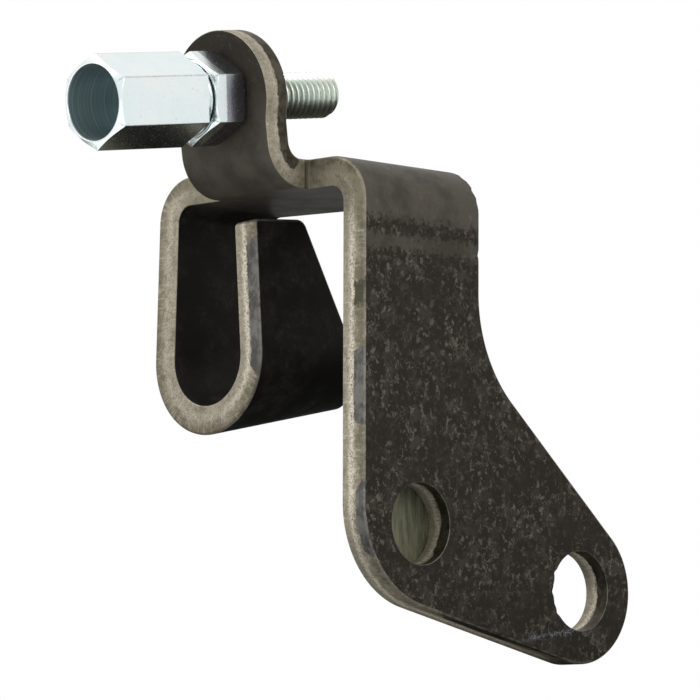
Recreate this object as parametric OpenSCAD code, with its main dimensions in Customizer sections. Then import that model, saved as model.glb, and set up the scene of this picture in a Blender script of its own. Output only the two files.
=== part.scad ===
// Control-cable anchor bracket with a hollow hex adjuster and its lock nut.
// Millimetres, +Z up. The origin is the centre of the lobe's bolt hole, on the
// outer face of the upright plate. +X is the way that face looks, and -Y is
// the side that the adjuster's barrel is on.

/* [Sheet] */
// Thickness of the bent strip
sheet_t = 5.1; // [3:0.1:6]
// Inner radius of the bends at the web and at the tab
bend_r = 2.9; // [2:0.1:5]

/* [Upright plate] */
// Height of the web's top face over the lobe's hole
web_top_z = 71.4; // [60:0.5:90]
// Distance from the lobe's hole forward to the strip's front edge
front_reach = 53.2; // [46:0.2:70]
// Depth of the plate's upper part, from the front edge to the back edge
upper_depth = 27.9; // [22:0.2:34]
// Radius of the lobe round its bolt hole
lobe_r = 12.7; // [10:0.1:16]
// Slope of the long back edge, below level
back_slope = 41; // [30:1:50]
// Slope of the bottom edge, below level
bottom_slope = 12.1; // [0:1:20]
// Radius where the back edge turns from upright to its slope
back_fillet_r = 24; // [10:1:30]
// Radius of the lower front corner
front_corner_r = 16.5; // [8:0.5:20]

/* [Bolt holes] */
// Diameter of the lobe's bolt hole
lobe_hole_d = 13.8; // [8:0.1:18]
// Diameter of the front bolt hole
front_hole_d = 13.8; // [8:0.1:16]
// Distance from the strip's front edge back to the front hole
front_hole_inset = 13.6; // [10:0.2:20]
// Height of the front hole over the lobe's hole
front_hole_z = 9.8; // [4:0.2:20]
// Diameter of the pad behind the front hole
pad_d = 16.8; // [16.4:0.1:24]
// Thickness of the pad behind the front hole
pad_t = 2; // [1:0.1:5]

/* [Web and hook] */
// Width over the web, from the plate's outer face to the hook's outer wall
web_w = 50.9; // [46:0.1:70]
// Depth of the strip where the hook's outer wall begins
hook_depth = 22; // [16:0.5:26]
// Depth of the hook's round bottom
foot_depth = 31; // [24:0.5:40]
// Height from the bottom of the hook's front edge to the web's top
hook_h = 45.4; // [40:0.2:60]
// Outer radius of the hook's round bottom
hook_r = 13.4; // [11:0.1:15]
// Rise of the hook's round bottom towards the back
hook_rise = 12; // [0:1:15]
// Lean of the hook's outer wall, outwards on its way down
wall_lean = 2; // [0:0.5:4]
// Lean of the hook's free leg towards the outer wall
leg_lean = 4; // [0:0.5:5]
// Gap between the free leg's top and the underside of the web
leg_gap = 4.4; // [3:0.1:8]
// Depth of the free leg at its top
leg_top_depth = 11.6; // [8:0.2:14]
// Angle of the leg's slanted back edge from upright
leg_slant = 25.5; // [20:1:35]

/* [Adjuster tab] */
// Distance from the plate's outer face to the adjuster's axis
axis_inset = 24.3; // [23:0.1:30]
// Radius of the tab round the tapped hole
tab_r = 11.5; // [9:0.1:13]
// Width of the tab at its bend
tab_w = 21.4; // [18:0.2:24]
// Straight length of the tab from its bend to the tapped hole
tab_rise = 8.7; // [7:0.1:14]
// Forward lean of the tab from upright
tab_lean = 7.9; // [0:0.1:12]
// How far the web runs on before the tab's bend starts
tab_run = 1.4; // [0.6:0.1:4]

/* [Thread] */
// Major diameter of the adjuster's thread
thread_d = 8; // [6:0.5:9]
// Pitch of the thread
thread_pitch = 1.25; // [1:0.05:1.5]
// Diameter of the hole for the inner cable
cable_bore_d = 4.2; // [2:0.1:4.5]
// Length of thread that stands out behind the tab
tail_l = 20.5; // [18:0.5:30]

/* [Hex parts] */
// Width across flats of the barrel and of the lock nut
hex_af = 14; // [13.8:0.1:18]
// How far the hex parts are turned about the axis in the photographed pose
hex_turn = 5.7; // [0:0.1:10]
// Thickness of the lock nut
nut_t = 7.2; // [4:0.1:9]
// Length of the barrel
barrel_l = 21.3; // [19:0.2:30]
// Length of the round collar at the barrel's rear
collar_l = 1.5; // [0.5:0.1:3]
// Diameter of the socket for the cable's casing
socket_d = 12.6; // [8:0.1:12.8]
// Depth of the socket
socket_depth = 16.4; // [10:0.2:17]
// Angle of the chamfers on the hex corners, from the end face
chamfer_angle = 30; // [20:1:40]

/* [Fits] */
// Radial clearance of the thread in the tapped hole and in the lock nut
thread_gap = 0.05; // [0.02:0.01:0.1]
// Radial clearance of the stem's journal in the barrel
journal_gap = 0.05; // [0.02:0.01:0.1]
// Gap between end faces that bear on each other
face_gap = 0.05; // [0.02:0.01:0.2]
// Gap between the barrel and the lock nut as set
set_gap = 0.3; // [0.1:0.1:2]

/* [Hidden] */
$fn = 96;
// A cut runs this far past the face that it leaves
past = 1;
// Steps along the arcs of an outline
arc_steps = 24;

// Strip: front edge, outer radius of its bends, and heights of the web
front_y = -front_reach;
back_y = front_y + upper_depth;
bend_out_r = bend_r + sheet_t;
web_under_z = web_top_z - sheet_t;
bend_z = web_top_z - bend_out_r;
front_hole_y = front_y + front_hole_inset;
wall_x = -web_w;

// Hook: the round bottom lies along an axis that climbs by hook_rise. The wall
// runs straight down for wall_l, tangent to the bend and to the round bottom
hook_in_r = hook_r - sheet_t;
hook_mid_r = hook_r - sheet_t / 2;
hook_z = web_top_z - hook_h + hook_r;
wall_c = [wall_x + bend_out_r, bend_z];
wall_n = [-cos(wall_lean), sin(wall_lean)];
wall_l = (bend_z - hook_z + (bend_out_r - hook_r) * wall_n.y) / cos(wall_lean);
hook_x = wall_c.x + (bend_out_r - hook_r) * wall_n.x - wall_l * sin(wall_lean);
leg_top_z = web_under_z - leg_gap;
leg_corner_r = 2.7;
leg_top_slope = 4.5;

// Tab: centre of its bend, then the frame of the adjuster's axis, whose
// origin is on the tab's front face
tab_bend_y = front_y - tab_run;
tab_bend_z = web_under_z + bend_out_r;
tab_turn = 90 - tab_lean;
tab_foot_y = tab_bend_y - bend_out_r * sin(tab_turn);
tab_foot_z = tab_bend_z - bend_out_r * cos(tab_turn);
axis_y = tab_foot_y - tab_rise * sin(tab_lean);
axis_z = tab_foot_z + tab_rise * cos(tab_lean);

// Adjuster: distances along its axis from the tab's front face, + to the rear.
// Then the thread's depth over its pitch, its crest, and the steps in radius
// from the thread's root to the journal and from the flats to the chamfers
nut_rear = -face_gap;
nut_front = nut_rear - nut_t;
barrel_rear = nut_front - set_gap;
barrel_front = barrel_rear - barrel_l;
socket_floor = barrel_front + socket_depth;
stem_tip = sheet_t + tail_l;
thread_r = thread_d / 2;
thread_form = 0.54;
root_r = thread_r - thread_form * thread_pitch;
crest_flat = thread_pitch / 8;
journal_step = 0.1;
journal_r = root_r - journal_step;
tip_chamfer = 1.2;
hex_r = hex_af / sqrt(3);
chamfer_step = 0.05;
chamfer_r = hex_af / 2 - chamfer_step;
hole_chamfer = 0.5;

// Points of an arc round c from angle a to angle b
function arc(c, r, a, b) =
    [for (i = [0 : arc_steps]) let (t = a + (b - a) * i / arc_steps) c + r * [cos(t), sin(t)]];

// Outline of the upright plate in its own plane, as [y, z]. The straight
// edges are tangent to the lobe, and the two fillets follow from them.
function plate_outline() =
    let (
        back_n = [sin(back_slope), cos(back_slope)],
        back_u = [-cos(back_slope), sin(back_slope)],
        back_s = (lobe_r * back_n.x + back_fillet_r * (back_n.x - 1) - back_y) / cos(back_slope),
        fillet_c = (lobe_r + back_fillet_r) * back_n + back_s * back_u,
        low_n = [-sin(bottom_slope), -cos(bottom_slope)],
        low_u = [-cos(bottom_slope), sin(bottom_slope)],
        low_s = ((lobe_r - front_corner_r) * low_n.x - front_y - front_corner_r) / cos(bottom_slope),
        corner_c = (lobe_r - front_corner_r) * low_n + low_s * low_u
    )
    concat(
        [[front_y, bend_z]],
        arc(corner_c, front_corner_r, 180, 270 - bottom_slope),
        arc([0, 0], lobe_r, 270 - bottom_slope, 450 - back_slope),
        arc(fillet_c, back_fillet_r, 270 - back_slope, 180),
        [[back_y, bend_z]]
    );

// Height and depth, as [d, z], of the back corner of the hook's free leg
function leg_corner() = [leg_top_depth, leg_top_z + leg_top_depth * tan(leg_top_slope)];

// Depth at which the leg's slanted edge comes down to the round bottom
function leg_foot_d() =
    let (drop = leg_corner().y - hook_z - hook_mid_r * sin(leg_lean))
    (leg_top_depth + drop * tan(leg_slant)) / (1 + tan(hook_rise) * tan(leg_slant));

// Outline of the leg above the round bottom, seen from the side, as [d, z]
function leg_outline() =
    let (
        foot_z = hook_z + hook_mid_r * sin(leg_lean),
        foot_d = leg_foot_d(),
        corner_t = leg_corner_r * tan((90 - leg_slant + leg_top_slope) / 2),
        corner_c = leg_corner() - corner_t * [cos(leg_top_slope), sin(leg_top_slope)]
            + leg_corner_r * [sin(leg_top_slope), -cos(leg_top_slope)]
    )
    concat(
        [[0, foot_z], [foot_d, foot_z + foot_d * tan(hook_rise)]],
        arc(corner_c, leg_corner_r, leg_slant, 90 + leg_top_slope),
        [[0, leg_top_z]]
    );

// Stands a shape drawn as [y, z] upright and gives it the length w along X
module along_x(w) {
    rotate([90, 0, 90]) linear_extrude(w) children();
}

// Stands a shape drawn as [x, z] upright and runs it back along Y for length l
module along_y(l) {
    translate([0, l, 0]) rotate([90, 0, 0]) linear_extrude(l) children();
}

// Places what is drawn along Z on the adjuster's axis, with +Z to the rear
module on_axis() {
    translate([-axis_inset, axis_y, axis_z]) rotate([tab_lean - 90, 0, 0]) children();
}

// Upright plate below its bend
module upright_plate() {
    translate([-sheet_t, 0, 0]) along_x(sheet_t) polygon(plate_outline());
}

// Section of the web with the bends at its two ends, as [x, z]
function web_section() =
    let (
        plate_c = [-bend_out_r, bend_z],
        wall_end = 180 - wall_lean
    )
    concat(
        arc(plate_c, bend_out_r, 0, 90),
        arc(wall_c, bend_out_r, 90, wall_end),
        arc(wall_c, bend_r, wall_end, 90),
        arc(plate_c, bend_r, 90, 0)
    );

// Web with the bends at its two ends, narrower towards the hook
module web_strip() {
    intersection() {
        translate([0, front_y, 0]) along_y(upper_depth) polygon(web_section());
        translate([0, 0, bend_z - past]) linear_extrude(bend_out_r + 2 * past) polygon([
            [past, front_y - past],
            [past, back_y],
            [-bend_out_r, back_y],
            [wall_x + bend_out_r, front_y + hook_depth],
            [wall_x - past, front_y + hook_depth],
            [wall_x - past, front_y - past]
        ]);
    }
}

// Depth of the round bottom at the angle a of its section: it falls from the
// lowest line to both sides, as the edge of the flat strip does
function bottom_depth(a) =
    let (
        wall_side = hook_mid_r * (90 + wall_lean) * PI / 180,
        wall_share = hook_mid_r * (270 - a) * PI / 180 / (wall_side + wall_l),
        leg_share = (a - 270) / (90 + leg_lean)
    )
    a < 270
        ? foot_depth - (foot_depth - hook_depth) * wall_share
        : foot_depth - (foot_depth - leg_foot_d()) * leg_share;

// Point at the depth d behind the front edge, run back from p along the
// climbing axis of the round bottom and along the leaning wall
function run_back(p, d) =
    let (climb = d * tan(hook_rise))
    [hook_x + p.x + climb * tan(wall_lean), front_y + d, hook_z + p.y + climb];

// Solid between two loops of n points each. Each cap is a strip between the
// two halves of its loop, because the second cap is twisted.
module between(first, second) {
    n = len(first);
    polyhedron(
        points = concat(first, second),
        faces = concat(
            [for (i = [0 : n / 2 - 2]) each [
                [i, n - 1 - i, n - 2 - i],
                [i, n - 2 - i, i + 1],
                [n + i, n + i + 1, 2 * n - 2 - i],
                [n + i, 2 * n - 2 - i, 2 * n - 1 - i]
            ]],
            [for (i = [0 : n - 1]) [i, (i + 1) % n, n + (i + 1) % n, n + i]]
        )
    );
}

// Outer wall below its bend, and the round bottom
module hook_run() {
    angles = [for (i = [0 : 2 * arc_steps])
        180 - wall_lean + (180 + wall_lean + leg_lean) * i / (2 * arc_steps)];
    back = [for (i = [2 * arc_steps : -1 : 0]) angles[i]];
    outer_top = arc(wall_c, bend_out_r, 90, 180 - wall_lean)[arc_steps];
    inner_top = arc(wall_c, bend_r, 180 - wall_lean, 90)[0];
    between(
        concat(
            [[outer_top.x, front_y, outer_top.y]],
            [for (a = angles) run_back(hook_r * [cos(a), sin(a)], 0)],
            [for (a = back) run_back(hook_in_r * [cos(a), sin(a)], 0)],
            [[inner_top.x, front_y, inner_top.y]]
        ),
        concat(
            [[outer_top.x, front_y + hook_depth, outer_top.y]],
            [for (a = angles) run_back(hook_r * [cos(a), sin(a)], bottom_depth(a))],
            [for (a = back) run_back(hook_in_r * [cos(a), sin(a)], bottom_depth(a))],
            [[inner_top.x, front_y + hook_depth, inner_top.y]]
        )
    );
}

// Free leg above the round bottom, leaning towards the outer wall
module hook_leg() {
    side = leg_outline();
    turn = 360 + leg_lean;
    n = len(side);
    faces_at = [for (r = [hook_r, hook_in_r]) [for (q = side)
        let (rise = (q.y - side[0].y - q.x * tan(hook_rise)) / cos(leg_lean))
        run_back(r * [cos(turn), sin(turn)] + rise * [-sin(leg_lean), cos(leg_lean)], q.x)]];
    polyhedron(
        points = concat(faces_at[0], faces_at[1]),
        faces = concat(
            [[for (i = [n - 1 : -1 : 0]) i], [for (i = [n : 2 * n - 1]) i]],
            [for (i = [0 : n - 1]) [i, (i + 1) % n, n + (i + 1) % n, n + i]]
        )
    );
}

// Side profile of the tab, as [y, z]: the run on, the bend and the straight part
function tab_profile() =
    let (
        bend_c = [tab_bend_y, tab_bend_z],
        tab_u = [-sin(tab_lean), cos(tab_lean)],
        reach = (tab_rise + tab_r + past) * tab_u,
        outer = arc(bend_c, bend_out_r, 270, 270 - tab_turn),
        inner = arc(bend_c, bend_r, 270 - tab_turn, 270)
    )
    concat(
        [[tab_bend_y + tab_run + bend_r, web_under_z]],
        outer,
        [outer[arc_steps] + reach, inner[0] + reach],
        inner,
        [[tab_bend_y + tab_run + bend_r, web_top_z]]
    );

// Tab that carries the adjuster, its profile cut to a round end on the axis
module tab_body() {
    intersection() {
        translate([-axis_inset - tab_r - past, 0, 0]) along_x(2 * (tab_r + past))
            polygon(tab_profile());
        on_axis() translate([0, 0, -past]) linear_extrude(3 * bend_out_r) {
            circle(tab_r);
            translate([-tab_w / 2, 0]) square([tab_w, tab_rise + 3 * bend_out_r]);
        }
    }
}

// The whole bent strip with its two bolt holes and the tapped hole
module bracket() {
    color([0.27, 0.25, 0.23]) difference() {
        union() {
            upright_plate();
            web_strip();
            hook_run();
            hook_leg();
            tab_body();
        }
        translate([-sheet_t - past, 0, 0]) rotate([0, 90, 0])
            cylinder(h = sheet_t + 2 * past, d = lobe_hole_d);
        translate([-sheet_t - past, front_hole_y, front_hole_z]) rotate([0, 90, 0])
            cylinder(h = sheet_t + 2 * past, d = front_hole_d);
        on_axis() translate([0, 0, -past])
            cylinder(h = sheet_t + 2 * past, r = thread_r + thread_gap);
    }
}

// Pad that closes the front bolt hole from behind
module backing_pad() {
    color([0.32, 0.31, 0.27]) translate([-sheet_t - pad_t, front_hole_y, front_hole_z])
        rotate([0, 90, 0]) cylinder(h = pad_t, d = pad_d);
}

// Hexagonal bar from z0 to z1 with its corners chamfered at both ends
module hex_bar(z0, z1) {
    chamfer_h = (hex_r + past - chamfer_r) * tan(chamfer_angle);
    intersection() {
        translate([0, 0, z0]) rotate(90 + hex_turn) cylinder(h = z1 - z0, r = hex_r, $fn = 6);
        rotate_extrude() polygon([
            [0, z0],
            [chamfer_r, z0],
            [hex_r + past, z0 + chamfer_h],
            [hex_r + past, z1 - chamfer_h],
            [chamfer_r, z1],
            [0, z1]
        ]);
    }
}

// Lock nut on the thread, against the tab's front face
module lock_nut() {
    bore_r = thread_r + thread_gap;
    color([0.85, 0.88, 0.90]) on_axis() difference() {
        hex_bar(nut_front, nut_rear);
        translate([0, 0, nut_front - past]) cylinder(h = nut_t + 2 * past, r = bore_r);
        translate([0, 0, nut_front]) rotate_extrude() polygon([
            [0, -past],
            [bore_r + hole_chamfer + past, -past],
            [bore_r, hole_chamfer],
            [0, hole_chamfer]
        ]);
    }
}

// Stem: thread grooves as rings, a plain journal for the barrel, a cable bore
module adjuster_stem() {
    turns = floor((stem_tip - tip_chamfer - barrel_rear) / thread_pitch) - 1;
    color([0.80, 0.83, 0.84]) on_axis() rotate_extrude() polygon(concat(
        [[cable_bore_d / 2, socket_floor], [journal_r, socket_floor]],
        [[journal_r, barrel_rear + face_gap], [root_r, barrel_rear + face_gap]],
        [for (i = [1 : turns]) let (z = barrel_rear + i * thread_pitch) each [
            [root_r, z],
            [thread_r, z + thread_pitch / 2 - crest_flat],
            [thread_r, z + thread_pitch / 2 + crest_flat / 2],
            [root_r, z + thread_pitch - crest_flat / 2]
        ]],
        [[root_r, stem_tip - tip_chamfer / 2], [thread_r - tip_chamfer, stem_tip]],
        [[cable_bore_d / 2, stem_tip]]
    ));
}

// Hex barrel with the casing socket at the front and a round collar behind
module adjuster_barrel() {
    color([0.86, 0.89, 0.91]) on_axis() difference() {
        union() {
            hex_bar(barrel_front, barrel_rear - collar_l);
            translate([0, 0, barrel_rear - collar_l - past])
                cylinder(h = collar_l + past, r = chamfer_r);
        }
        translate([0, 0, barrel_front - past]) cylinder(h = socket_depth + past, d = socket_d);
        translate([0, 0, barrel_front])
            cylinder(h = barrel_l + past, r = journal_r + journal_gap);
    }
}

bracket();
backing_pad();
lock_nut();
adjuster_stem();
adjuster_barrel();
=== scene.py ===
# %% [markdown]
# # A control-cable anchor bracket
# The real object is one strip of hot-rolled steel, sheared to an outline, bent
# into a plate, a web, a hook and an upturned tab, and fitted with a bright
# hollow hex adjuster and its lock nut. The CAD model is loaded as a fixed frame,
# and every visible piece is laid over it, in metres and in the same place.

import bpy
import numpy as np
from mathutils import Matrix, Vector
from mathutils.geometry import delaunay_2d_cdt


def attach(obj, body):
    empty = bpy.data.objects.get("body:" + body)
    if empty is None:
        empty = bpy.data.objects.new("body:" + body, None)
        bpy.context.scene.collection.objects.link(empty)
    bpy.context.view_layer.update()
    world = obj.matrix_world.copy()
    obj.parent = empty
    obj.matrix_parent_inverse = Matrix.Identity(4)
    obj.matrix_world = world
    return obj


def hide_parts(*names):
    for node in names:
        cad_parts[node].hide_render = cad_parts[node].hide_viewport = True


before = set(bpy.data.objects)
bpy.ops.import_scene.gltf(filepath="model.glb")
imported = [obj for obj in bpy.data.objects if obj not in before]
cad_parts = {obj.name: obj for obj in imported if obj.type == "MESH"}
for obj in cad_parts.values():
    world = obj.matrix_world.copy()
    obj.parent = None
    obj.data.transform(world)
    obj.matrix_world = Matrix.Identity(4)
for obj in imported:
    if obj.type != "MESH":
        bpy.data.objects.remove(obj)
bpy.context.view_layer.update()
MM = 0.001


# %% [markdown]
# ## Sizes
# A press brake works from a few numbers: the sheet, the bend radius and where
# each bend lies. They are repeated here in millimetres, as the CAD model has
# them, so that the visible skin follows the solid.

# %% Sizes of the strip
HALF = 2.55          # half of the sheet's thickness
BEND = 2.9 + HALF    # radius of a bend at mid thickness
OUTER = BEND + HALF  # radius of a bend on its outside
FRONT = -53.2        # the strip's front edge, along Y
PLATE_BACK = FRONT + 27.9
HOOK_BACK = FRONT + 22.0  # at the second bend
FOOT_BACK = FRONT + 31.0  # at the hook's round bottom
BEND_Z = 63.4             # height where the plate's bend starts
WALL_X = -50.9            # outermost place of the second bend
OUT = np.radians(2)       # lean of the hook's wall, outwards on its way down
HOOK_R = 13.4 - HALF
HOOK_Z = 39.4  # centre of the hook's round bottom, at the front
WALL_L = (BEND_Z - HOOK_Z + (BEND - HOOK_R) * np.sin(OUT)) / np.cos(OUT)
HOOK_X = WALL_X + OUTER - (BEND - HOOK_R) * np.cos(OUT) - WALL_L * np.sin(OUT)
RISE = np.tan(np.radians(12))  # climb of that bottom towards the back
LEAN = np.radians(4)           # lean of the free leg
AXIS_X = -24.3                 # the adjuster's axis
TAB_R, NECK = 11.5, 10.7       # the tab's round end, and half its width below
TAB_LEAN = np.radians(7.9)
TAB_TURN = np.pi / 2 - TAB_LEAN
TAB_Y = FRONT - 1.4   # where the tab's bend starts
TAB_Z = 66.3 + OUTER  # centre height of that bend
TAB_RISE = 8.7

# Stations along the strip, from the foot of the plate's bend to the leg
S_WEB = BEND * np.pi / 2
S_BEND2 = S_WEB + (-OUTER) - (WALL_X + OUTER)
S_WALL = S_BEND2 + BEND * (np.pi / 2 - OUT)
S_HOOK = S_WALL + WALL_L
S_BOTTOM = S_HOOK + HOOK_R * (np.pi / 2 + OUT)
S_LEG = S_BOTTOM + HOOK_R * (np.pi / 2 + LEAN)
TAB_ARC = BEND * TAB_TURN
HOLE_S = S_WEB - OUTER - AXIS_X
HOLE_Y = TAB_Y - TAB_ARC - TAB_RISE
print("developed length from bend to leg:", round(float(S_LEG), 2), "mm")


# %% [markdown]
# ## From the flat blank to the bent strip
# A sheet-metal part is drawn flat first. Each point of the blank has a distance
# s along the strip and a place y across it, and bending only turns it: round
# the plate's bend, the second bend and the hook, and round a bend of its own in
# the tab. With that as a formula, the whole skin can be made flat and bent at
# the end, and the blank's own coordinates stay on it for the finish.

# %% The bending formula
def bend(s, y):
    """Mid point, thickness direction and the two unit tangents of a blank point.

    The section turns with the angle a of its outer normal: 0 on the plate,
    s / r in a bend, and on through the web, the wall and the hook. The hook
    climbs by RISE for each mm back, and slides along the leaning wall as it
    does. In the tab the angle b turns the y direction up, b = q / r, for q mm
    past the start of the tab's bend.
    """
    steps = [s < 0, s < S_WEB, s < S_BEND2, s < S_WALL, s < S_HOOK, s < S_LEG]
    climb = np.clip((s - S_WALL) / (S_HOOK - S_WALL), 0, 1) * RISE
    wall = np.clip(s - S_WALL, 0, None)
    turn = np.clip(s - S_HOOK, 0, S_LEG - S_HOOK) / HOOK_R
    leg = np.clip(s - S_LEG, 0, None)
    quarter = np.pi / 2
    a = np.select(steps, [0 * s, s / BEND, quarter + 0 * s,
                          quarter + (s - S_BEND2) / BEND, 2 * quarter - OUT + 0 * s,
                          2 * quarter - OUT + turn], 4 * quarter + LEAN)
    cos, sin = np.cos(a), np.sin(a)
    x = np.select(steps, [-HALF + 0 * s, -OUTER + BEND * cos, -OUTER - (s - S_WEB),
                          WALL_X + OUTER + BEND * cos,
                          WALL_X + OUTER + BEND * cos - wall * np.sin(OUT),
                          HOOK_X + HOOK_R * cos], HOOK_X + HOOK_R * cos - leg * np.sin(LEAN))
    z = np.select(steps, [BEND_Z + s, BEND_Z + BEND * sin, BEND_Z + BEND + 0 * s,
                          BEND_Z + BEND * sin, BEND_Z + BEND * sin - wall * np.cos(OUT),
                          HOOK_Z + HOOK_R * sin], HOOK_Z + HOOK_R * sin + leg * np.cos(LEAN))
    x = x + (y - FRONT) * climb * np.tan(OUT)
    z = z + (y - FRONT) * climb
    q = np.clip(TAB_Y - y, 0, None)
    b = np.clip(q, 0, TAB_ARC) / BEND
    more = np.clip(q - TAB_ARC, 0, None)
    y3 = np.where(q > 0, TAB_Y - BEND * np.sin(b) - more * np.cos(b), y)
    z = z + BEND * (1 - np.cos(b)) + more * np.sin(b)
    zero = 0 * s
    side = np.stack([cos, np.where(q > 0, np.sin(b), zero), sin * np.cos(b)], 1)
    along = np.stack([-sin, zero, cos], 1)
    across = np.stack([climb * np.tan(OUT), np.cos(b), np.where(q > 0, -np.sin(b), climb)], 1)
    across /= np.linalg.norm(across, axis=1)[:, None]
    return np.stack([x, y3, z], 1), side, along, across


# %% [markdown]
# ## The blank's outline
# A punch leaves an outline of straight lines and rounded corners. A corner is
# its sharp point and a radius, and the arc follows from the two lines that it
# touches, just as the lobe's round end follows from the two edges beside it.

# %% Rounded outlines
def rounded(corners, radii, step=0.5):
    """Points and outward normals of a closed outline with rounded corners.

    A corner with half turn h between its lines loses r * tan(h) of each line,
    and the arc of radius r turns from one line's direction to the other's.
    """
    c = np.array(corners, float)
    r = np.array(radii, float)
    u = np.roll(c, -1, 0) - c
    size = np.linalg.norm(u, axis=1)
    u /= size[:, None]
    before = np.roll(u, 1, 0)
    turn = np.arctan2(before[:, 0] * u[:, 1] - before[:, 1] * u[:, 0], (before * u).sum(1))
    cut = r * np.tan(np.abs(turn) / 2)
    points, normals = [], []
    for i in range(len(c)):
        n = max(2, int(np.ceil(r[i] * abs(turn[i]) / step)) + 1, int(abs(turn[i]) / 0.12) + 2)
        heading = np.arctan2(before[i, 1], before[i, 0]) + turn[i] * np.linspace(0, 1, n)
        normal = np.stack([np.sin(heading), -np.cos(heading)], 1)
        centre = c[i] - cut[i] * before[i] - np.sign(turn[i]) * r[i] * normal[0]
        points.append(centre + np.sign(turn[i]) * r[i] * normal)
        normals.append(normal)
        j = (i + 1) % len(c)
        gap = size[i] - cut[i] - cut[j]
        n = int(gap / step)
        t = (np.arange(1, n) / n)[:, None] if n > 1 else np.zeros((0, 1))
        points.append(c[i] + u[i] * (cut[i] + t * gap))
        normals.append(np.repeat(normal[-1:], len(t), 0))
    return np.concatenate(points), np.concatenate(normals)


def circle(centre, r, n):
    """A hole of radius r round a centre; its outward normals look into the hole."""
    a = -2 * np.pi * np.arange(n) / n
    ring = np.stack([np.cos(a), np.sin(a)], 1)
    return np.array(centre) + r * ring, -ring


def meet(p, u, q, v):
    """The point where the line p + t u meets the line q + w v."""
    t = np.linalg.solve(np.array([u, [-v[0], -v[1]]]).T, np.array(q, float) - p)[0]
    return np.array(p, float) + t * np.array(u, float)


# %% The strip's outline and its three holes
LOBE_R, SLOPE, FOOT = 12.7, np.radians(41), np.radians(12.7)
lobe = np.array([-BEND_Z, 0.0])
slope_n, foot_n = np.array([[np.cos(SLOPE), np.sin(SLOPE)], [-np.cos(FOOT), -np.sin(FOOT)]])
slope_line = lobe + LOBE_R * slope_n, [np.sin(SLOPE), -np.cos(SLOPE)]
foot_line = lobe + LOBE_R * foot_n, [np.sin(FOOT), -np.cos(FOOT)]
foot_corner = meet(*foot_line, [0, FRONT], [1, 0])
lobe_corner = meet(*foot_line, *slope_line)
back_corner = meet(*slope_line, [0, PLATE_BACK], [1, 0])


def leg_s(z, y):
    """Station of the free leg's point at height z: undo its climb and its lean."""
    foot = HOOK_Z + (y - FRONT) * RISE + HOOK_R * np.sin(LEAN)
    return S_LEG + (z - foot) / np.cos(LEAN)


LEG_TOP, LEG_DEPTH = 62.4, 11.6     # height of the leg's front corner, and its depth
LEG_RISE = np.tan(np.radians(4.5))  # slope of its top end
SLANT = np.tan(np.radians(25.5))    # slant of its back edge
top_z = LEG_TOP + LEG_DEPTH * LEG_RISE
leg_foot = LEG_DEPTH + (top_z - HOOK_Z - HOOK_R * np.sin(LEAN)) * SLANT
leg_foot /= 1 + RISE * SLANT
NECK_END, SHOULDER = 4.9, 1.2  # where the tab widens, below its hole's centre

# Corners as a point and a radius: the foot, the tab from one side to the other,
# the leg, the hook's foot, the second bend, the web, the back edge and the lobe
tab = [(NECK, FRONT, 0.5), (NECK, HOLE_Y + NECK_END, 6), (TAB_R, HOLE_Y + SHOULDER, 6),
       (TAB_R, HOLE_Y - TAB_R, TAB_R - 0.01)]
corners = [(foot_corner, 17.5)]
corners += [((HOLE_S - half, y), r) for half, y, r in tab]
corners += [((HOLE_S + half, y), r) for half, y, r in tab[::-1]]
corners += [((leg_s(LEG_TOP, FRONT), FRONT), 0.85),
            ((leg_s(top_z, FRONT + LEG_DEPTH), FRONT + LEG_DEPTH), 2.7),
            ((S_LEG, FRONT + leg_foot), 8), ((S_BOTTOM, FOOT_BACK), 4),
            ((S_WALL, HOOK_BACK), 6), ((S_BEND2, HOOK_BACK), 6), ((S_WEB, PLATE_BACK), 6),
            (back_corner, 24), (lobe_corner, LOBE_R)]
outline, outline_n = rounded([point for point, _ in corners], [r for _, r in corners])

HOLE_R, TAPPED_R = 6.9, 4.05  # bolt holes, and the tab's tapped hole
LOBE_HOLE, FRONT_HOLE = (-BEND_Z, 0), (9.8 - BEND_Z, FRONT + 13.6)
holes = [circle(LOBE_HOLE, HOLE_R, 144), circle(FRONT_HOLE, HOLE_R, 96),
         circle((HOLE_S, HOLE_Y), TAPPED_R, 64)]


def nicked(p, n, where, depth, width=0.5):
    """Points moved in by depth * exp(-(distance to where / width)^2) for each nick."""
    near = np.hypot(*(p[:, None] - np.array(where)).transpose(2, 0, 1)) / width
    return p - n * (np.exp(-near ** 2) * depth).sum(1)[:, None]


# Nicks at the top back edge, by station and depth, and round the lobe's hole
back_nicks = [[1.4, 0.2], [2.9, 0.5], [4.2, 0.25], [5.3, 0.6], [6.6, 0.3], [7.8, 0.45],
              [-7.0, 0.25]]
outline = nicked(outline, outline_n, [[s, PLATE_BACK] for s, _ in back_nicks],
                 [d for _, d in back_nicks])
rim = [[-BEND_Z + HOLE_R * np.sin(a), -HOLE_R * np.cos(a)]
       for a in np.radians([24, 13, -3, -20, -34])]
holes[0] = (nicked(*holes[0], rim, [0.35, -0.1, 0.3, 0.12, 0.28]), holes[0][1])
loops = [(outline, outline_n)] + holes
print("outline points:", len(outline), "first corner:", foot_corner.round(2))


# %% [markdown]
# ## The sheared edge
# A die presses the sheet before it cuts. The face that the punch meets first
# rolls over, then comes a dull burnished band, then the torn band that breaks
# out with a small burr corner. The profile below runs from the outer face to
# the inner one and is carried along every loop of the outline.

# %% Edge profile and the two skins
BURR = 0.18                    # radius of the corner at the inner face
ROLL, HOLE_ROLL = 0.6, 0.2     # roll-over of the outline and of the holes
INSET, BURR_INSET = 0.12, 0.3  # how far inside the corners the two skins start


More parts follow.
